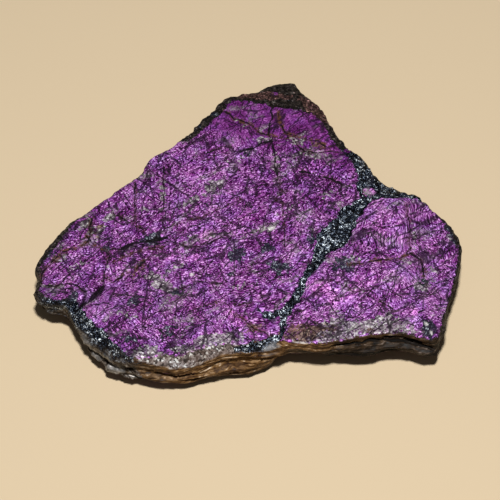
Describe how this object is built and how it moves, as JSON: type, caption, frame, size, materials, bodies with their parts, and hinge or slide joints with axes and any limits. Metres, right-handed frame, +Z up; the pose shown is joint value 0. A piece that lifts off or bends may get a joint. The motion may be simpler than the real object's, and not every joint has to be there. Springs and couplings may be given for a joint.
{
  "type": "purpurite slab",
  "caption": "Cleaved slab of purple purpurite with a blue-black vein, dark crust and layered brown edges, lying on its back.",
  "frame": {"origin": "under the middle of the slab's box, on the surface it rests on", "axes": "+X along the slab's longest side, to the right in the picture; +Y away from the viewer towards the dark corner; +Z up, out of the purple face"},
  "size_m": [0.0756, 0.063, 0.009],
  "materials": {
    "stone": "silky cleaved purple face with dark crusty edges"
  },
  "bodies": {
    "root": {"purpurite_slab": "stone"}
  },
  "joints": []
}
